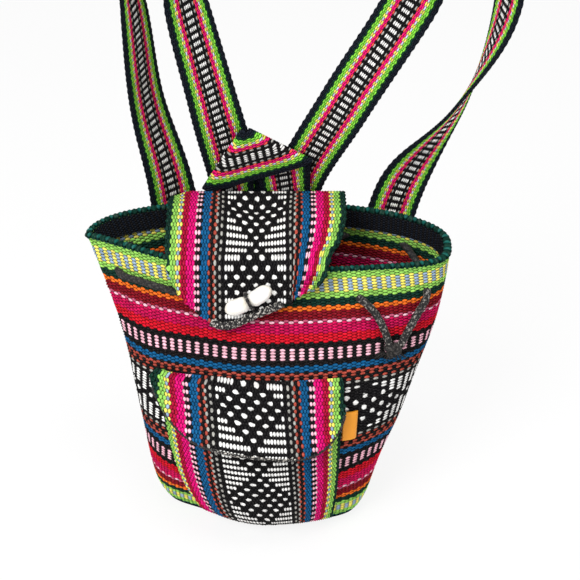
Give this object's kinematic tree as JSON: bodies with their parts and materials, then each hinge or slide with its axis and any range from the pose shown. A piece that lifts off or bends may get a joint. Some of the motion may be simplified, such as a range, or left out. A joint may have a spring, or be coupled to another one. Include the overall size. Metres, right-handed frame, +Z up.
{
  "type": "mini backpack",
  "caption": "Small woven drawstring backpack: striped sack with an open mouth, toggled flap, flapped front pocket, shoulder straps and a folded hang loop.",
  "frame": {"origin": "middle of the base's flat underside", "axes": "+Z up through the mouth, -Y towards the front with the pocket, +X to the viewer's right"},
  "size_m": [0.258, 0.1384, 0.3969],
  "materials": {
    "sack_cloth": "coarse warp-faced weave, striped",
    "facing_cloth": "plain ribbed tape",
    "strip_cloth": "coarse warp-faced weave, striped, patterned centre",
    "strap_tape": "woven patterned tape",
    "cord": "braided cord, flecked grey",
    "toggle": "smooth, slightly worn",
    "label": "smooth woven label, bare"
  },
  "bodies": {
    "root": {"body_panel": "sack_cloth", "base_panel": "sack_cloth", "rim_facing": "facing_cloth", "main_flap": "strip_cloth", "front_pocket": "strip_cloth", "pocket_flap": "strip_cloth", "left_shoulder_strap": "strap_tape", "right_shoulder_strap": "strap_tape", "hang_loop": "strap_tape", "drawstring_run": "cord", "drawstring_left_end": "cord", "drawstring_right_end": "cord", "drawstring_knot": "cord", "toggle": "toggle", "toggle_cord": "cord", "side_label": "label"}
  },
  "joints": []
}
